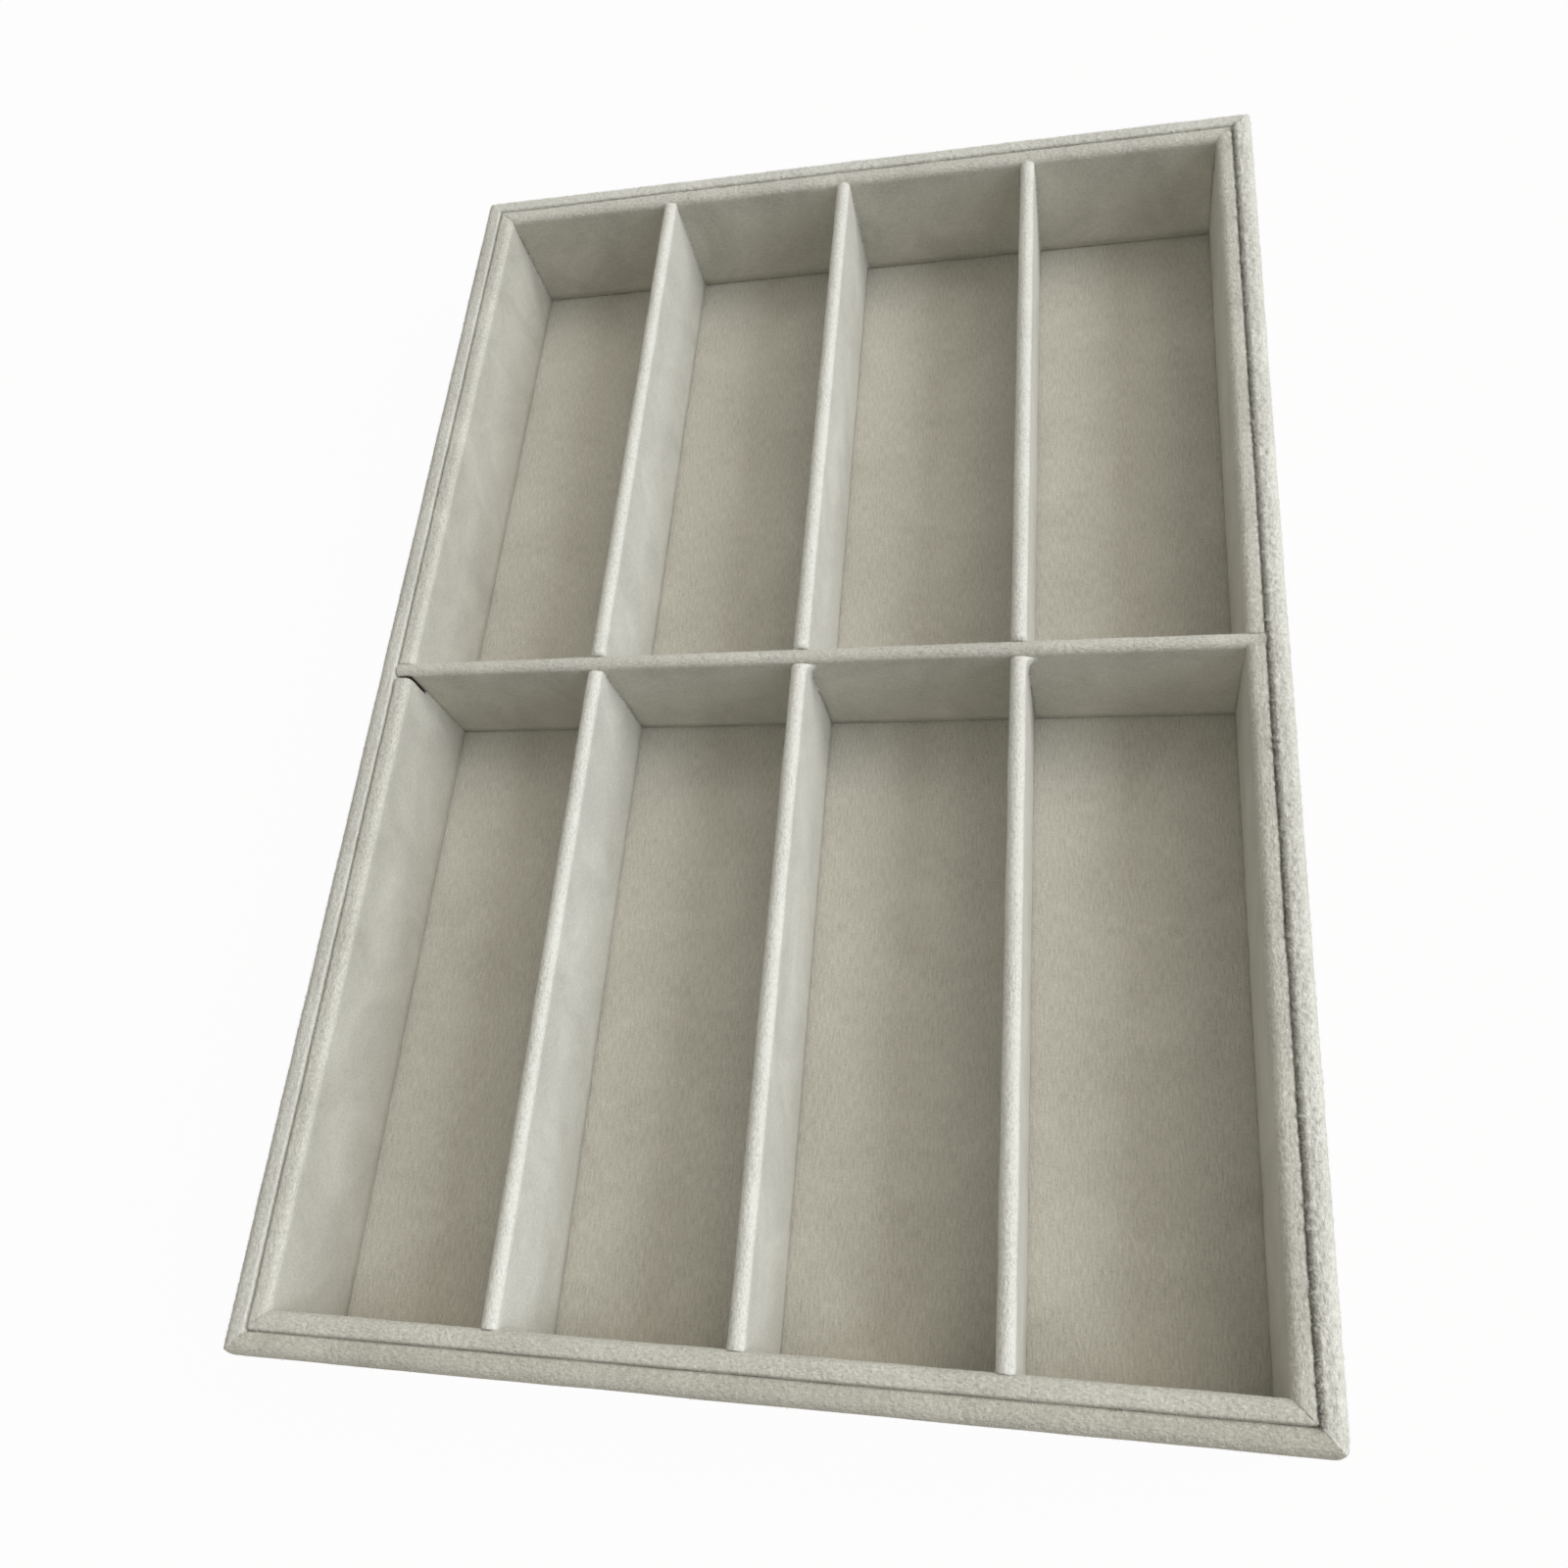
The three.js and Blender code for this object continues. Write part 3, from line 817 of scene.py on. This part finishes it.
bm = bmesh.new()
start = fold_over(bm, -DIVIDER / 2, DIVIDER / 2, STAND, STAND, DIVIDER / 2, DIVIDER / 2)
sweep(bm, start, EAR_END)
for x in DIVIDERS.values():
    slot(bm, x - LAP, x + LAP, UNDER, LAP_LEVEL + LAP_ROOM)
slot(bm, BODY_END, PAST_EAR, UNDER, EAR_TRIM)
slot(bm, -PAST_EAR, -BODY_END, UNDER, EAR_TRIM)
girth = lay_flat(bm)
raise_pile(bm, cross_distance, DIVIDER_ROLL, CROSS_SEED)
cloths.append(cloth_piece(bm, "cross_divider", "cross_divider", velvet))
print("cross divider, girth mm:", round(girth / MM, 1))

# %% [markdown]
# ## The floor
# One velvet-covered panel lies under the whole grid. It is a grid of faces whose border is turned down
# round the board. It is slightly uneven, as cloth on thin board is, and a plain rectangle would look like
# paper. Its ribs run from front to back, so its UV map is simply its plan.

# %% Cover the floor
FLOOR_CELL = 3 * MM
FLOOR_WAVE = 30 * MM
FLOOR_SAG = 0.06 * MM

floor_width = floor_high.x - floor_low.x
floor_length = floor_high.y - floor_low.y
bm = bmesh.new()
bmesh.ops.create_grid(bm, x_segments=round(floor_width / FLOOR_CELL),
                      y_segments=round(floor_length / FLOOR_CELL), size=0.5)
bmesh.ops.scale(bm, verts=bm.verts, vec=(floor_width, floor_length, 1))
bmesh.ops.translate(bm, verts=bm.verts, vec=(0, 0, floor_high.z))
uv = bm.loops.layers.uv.new("cloth")
for face in bm.faces:
    for corner in face.loops:
        corner[uv].uv = corner.vert.co.xy
border = [edge for edge in bm.edges if edge.is_boundary]
turned = bmesh.ops.extrude_edge_only(bm, edges=border)
hem = vertices_in(turned["geom"])
bmesh.ops.translate(bm, verts=hem, vec=(0, 0, floor_low.z - floor_high.z))
for vertex in bm.verts:
    if vertex not in hem:
        vertex.co.z -= FLOOR_SAG * (1 + noise.noise(vertex.co / FLOOR_WAVE))
in_order(bm)
floor_cloth = cloth_piece(bm, "floor", "tray", floor_velvet)

# %% [markdown]
# ## Loose fibres
# Against the light, a fold of velvet has a soft fringe: fibres that stand out past the pile. Hair would be
# finer, but only a plain mesh can be exported, so Geometry Nodes strew small cones. First they scatter
# points over the cloth, more where the attributes "fold" and "fray" are high.

# %% Where the fibres stand
FIBRES = 8.0 / MM ** 2  # per square metre, on a fold
FRAYED_FIBRES = 18.0 / MM ** 2  # where the cloth frays
FOLD_POWER = 2.0  # above 1, it keeps the fibres to the top of a fold

scatter = bpy.data.node_groups.new("fibre_scatter", "GeometryNodeTree")
scatter.interface.new_socket("Cloth", in_out="INPUT", socket_type="NodeSocketGeometry")
scatter.interface.new_socket("Seed", in_out="INPUT", socket_type="NodeSocketInt")
scatter.interface.new_socket("Fibres", in_out="OUTPUT", socket_type="NodeSocketGeometry")
given = add_node(scatter, "NodeGroupInput")
fold = add_node(scatter, "GeometryNodeInputNamedAttribute", {"Name": "fold"}, data_type="FLOAT")
fray = add_node(scatter, "GeometryNodeInputNamedAttribute", {"Name": "fray"}, data_type="FLOAT")
often = add_node(scatter, "ShaderNodeMath", {
    0: fold.outputs["Attribute"], 1: FOLD_POWER}, operation="POWER")
density = add_node(scatter, "ShaderNodeMath", {
    0: often.outputs["Value"], 1: FIBRES}, operation="MULTIPLY")
density = add_node(scatter, "ShaderNodeMath", {
    0: fray.outputs["Attribute"], 1: FRAYED_FIBRES, 2: density.outputs["Value"]},
    operation="MULTIPLY_ADD")
points = add_node(scatter, "GeometryNodeDistributePointsOnFaces", {
    "Mesh": given.outputs["Cloth"], "Density": density.outputs["Value"],
    "Seed": given.outputs["Seed"]})
print("fibres on a fold, per square mm:", round(FIBRES * MM ** 2))

# %% [markdown]
# ### One fibre
# A fibre is a cone with three sides, which is enough for something thinner than a tenth of a millimetre.
# It leans and turns at random from a fixed seed. Where the cloth frays it is up to three times the size.

# %% What stands there
FIBRE_SIDES = 3
FIBRE_LENGTH = 0.45 * MM
FIBRE_WIDTH = 0.09 * MM
LEAN = 0.7  # to each side, in radians
FULL_TURN = 6.3
SMALLEST = 0.5
LARGEST = 1.15
FRAYED_GROWTH = 2.0

fibre = add_node(scatter, "GeometryNodeMeshCone", {
    "Vertices": FIBRE_SIDES, "Radius Top": 0.0, "Radius Bottom": FIBRE_WIDTH / 2,
    "Depth": FIBRE_LENGTH}, fill_type="NONE")
lean = add_node(scatter, "FunctionNodeRandomValue", {
    0: (-LEAN, -LEAN, 0.0), 1: (LEAN, LEAN, FULL_TURN), "Seed": given.outputs["Seed"]},
    data_type="FLOAT_VECTOR")
lean_turn = add_node(scatter, "FunctionNodeEulerToRotation", {"Euler": lean.outputs[0]})
turned_fibre = add_node(scatter, "FunctionNodeRotateRotation", {
    "Rotation": points.outputs["Rotation"], "Rotate By": lean_turn.outputs["Rotation"]},
    rotation_space="LOCAL")
size = add_node(scatter, "FunctionNodeRandomValue", {
    2: SMALLEST, 3: LARGEST, "Seed": given.outputs["Seed"]}, data_type="FLOAT")
longer = add_node(scatter, "ShaderNodeMath", {
    0: fray.outputs["Attribute"], 1: FRAYED_GROWTH, 2: 1.0}, operation="MULTIPLY_ADD")
size = add_node(scatter, "ShaderNodeMath", {
    0: longer.outputs["Value"], 1: size.outputs[1]}, operation="MULTIPLY")
fibres = add_node(scatter, "GeometryNodeInstanceOnPoints", {
    "Points": points.outputs["Points"], "Instance": fibre.outputs["Mesh"],
    "Rotation": turned_fibre.outputs["Rotation"], "Scale": size.outputs["Value"]})
made = add_node(scatter, "GeometryNodeRealizeInstances", {"Geometry": fibres.outputs["Instances"]})
add_node(scatter, "NodeGroupOutput", {"Fibres": made.outputs["Geometry"]})
print("fibre nodes:", len(scatter.nodes))

# %% [markdown]
# ### Fibres on every fold
# The same nodes run on every wrap, each with its own seed. The result is made a plain mesh, so that nothing
# is left to compute later, and it rides on the body of its cloth. A single fibre has no cloth behind it and
# lets light through, and that light is painted into the loose pile's colour, which is paler than the
# velvet's. The cloth gets its thickness only afterwards, so that no fibres stand on its cut rim.

# %% Strew the fibres
loose_pile = knitted_velvet("loose_velvet_pile", "#e0ddd5", "#fffef8", base_shade=0.6, rib_share=0.0,
                            patch_share=0.5)
total = 0
for seed, cloth in enumerate(cloths):
    growth = cloth.modifiers.new("fibre_scatter", "NODES")
    growth.node_group = scatter
    growth[scatter.interface.items_tree["Seed"].identifier] = seed
    grown = cloth.evaluated_get(bpy.context.evaluated_depsgraph_get())
    mesh = bpy.data.meshes.new_from_object(grown)
    cloth.modifiers.remove(growth)
    mesh.name = cloth.name.replace("_cloth", "_fibres")
    mesh.shade_smooth()
    mesh.materials.clear()
    mesh.materials.append(loose_pile)
    fringe = bpy.data.objects.new(mesh.name, mesh)
    bpy.context.scene.collection.objects.link(fringe)
    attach(fringe, cloth["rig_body"])
    thicken(cloth)
    total += len(mesh.polygons) // FIBRE_SIDES
thicken(floor_cloth)
print("fibres:", total)

# %% [markdown]
# ## The ground
# The photograph has a plain white ground with hardly a shadow on it. Paper that is lit would be grey in
# places, so this ground glows white to the camera and keeps only a trace of the shadow. To the light it is
# dull paper, which throws a little warm light back on the walls. From below it is clear, so that the
# underside can be looked at.

# %% White ground
GROUND_GLOW = 0.97  # the share of plain white in what the camera sees
HALF_GROUND = 4  # in metres


def whether_seen(tree):
    """1 where the camera sees the surface, also in a mirror or through glass, and 0 for light itself."""
    ray = add_node(tree, "ShaderNodeLightPath")
    seen = add_node(tree, "ShaderNodeMath", {
        0: ray.outputs["Is Camera Ray"], 1: ray.outputs["Is Glossy Ray"]}, operation="MAXIMUM")
    seen = add_node(tree, "ShaderNodeMath", {
        0: seen.outputs["Value"], 1: ray.outputs["Is Transmission Ray"]}, operation="MAXIMUM")
    return seen.outputs["Value"]


white_paper, tree = new_material("white_paper_ground")
share = add_node(tree, "ShaderNodeMath", {0: whether_seen(tree), 1: GROUND_GLOW}, operation="MULTIPLY")
paper = add_node(tree, "ShaderNodeBsdfDiffuse", {"Color": linear("#d2ccbf")})
white = add_node(tree, "ShaderNodeEmission", {"Strength": 1.0})
blend = add_node(tree, "ShaderNodeMixShader", {
    0: share.outputs["Value"], 1: paper.outputs["BSDF"], 2: white.outputs["Emission"]})
side = add_node(tree, "ShaderNodeNewGeometry")
clear = add_node(tree, "ShaderNodeBsdfTransparent")
blend = add_node(tree, "ShaderNodeMixShader", {
    0: side.outputs["Backfacing"], 1: blend.outputs["Shader"], 2: clear.outputs["BSDF"]})
add_node(tree, "ShaderNodeOutputMaterial", {"Surface": blend.outputs["Shader"]})
bm = bmesh.new()
bmesh.ops.create_grid(bm, x_segments=1, y_segments=1, size=HALF_GROUND)
mesh = bpy.data.meshes.new("ground")
bm.to_mesh(mesh)
bm.free()
mesh.materials.append(white_paper)
ground = bpy.data.objects.new("ground", mesh)
bpy.context.scene.collection.objects.link(ground)
print("ground, m:", 2 * HALF_GROUND)

# %% [markdown]
# ## Light
# In the photograph, faces that look to the right are pale and a little blue, so a large window stands on
# the right. A weaker and warmer lamp hangs high up behind the tray and softens the shadows, and the room
# gives pale light all round. A picture of a room could light it too, but two lamps can be matched to the
# photograph one by one. The camera sees the room as white, as plain as the ground.

# %% Window, ceiling and room
world = bpy.data.worlds.new("pale_room")
world.use_nodes = True
tree = world.node_tree
tree.nodes.clear()
room_light = add_node(tree, "ShaderNodeBackground", {"Color": linear("#fffdf5"), "Strength": 0.275})
room_seen = add_node(tree, "ShaderNodeBackground", {"Color": linear("#fafafa"), "Strength": 1.0})
room = add_node(tree, "ShaderNodeMixShader", {
    0: whether_seen(tree), 1: room_light.outputs["Background"], 2: room_seen.outputs["Background"]})
add_node(tree, "ShaderNodeOutputWorld", {"Surface": room.outputs["Shader"]})
bpy.context.scene.world = world


def lamp(name, place, width, height, power, colour):
    """A soft box at a place, turned to the tray's middle."""
    light = bpy.data.lights.new(name, "AREA")
    light.shape = "RECTANGLE"
    light.size = width
    light.size_y = height
    light.energy = power
    light.color = linear(colour)[:3]
    soft_box = bpy.data.objects.new(name, light)
    soft_box.location = place
    aim = Vector((0, 0, 0)) - Vector(place)
    soft_box.rotation_euler = aim.to_track_quat("-Z", "Y").to_euler()
    bpy.context.scene.collection.objects.link(soft_box)


lamp("window", place=(3.0, 0.0, 2.0), width=2.4, height=2.2, power=81, colour="#f4f9ff")
lamp("ceiling", place=(1.5, 1.5, 3.0), width=2.4, height=2.0, power=28, colour="#fff9ea")
print("lamps, W:", {light.name: round(light.energy) for light in bpy.data.lights})

# %% [markdown]
# ## Camera
# The camera looks down at a slant from above the tray's front edge, right of its middle, with a slight
# roll. Turning it by hand until the picture agrees would take long, so a pinhole camera was fitted to the
# corners of the rim, the dividers and the floor. Its lens, place and three axes are given here as numbers.

# %% Camera
camera = bpy.data.objects.new("camera", bpy.data.cameras.new("camera"))
camera.data.sensor_width = 36
camera.data.lens = 31.41
camera.data.clip_start = 0.01
right = Vector((0.972454, 0.085622, -0.216799))
up = Vector((0.012772, 0.909122, 0.416333))
back = Vector((0.232744, -0.407634, 0.882986))
eye = Vector((0.07765, -0.17392, 0.33954))
turn = Matrix((right, up, back)).transposed()
camera.matrix_world = Matrix.Translation(eye) @ turn.to_4x4()
bpy.context.scene.collection.objects.link(camera)
bpy.context.scene.camera = camera
bpy.context.scene.view_settings.view_transform = "Standard"
print("camera height, mm:", round(eye.z / MM))
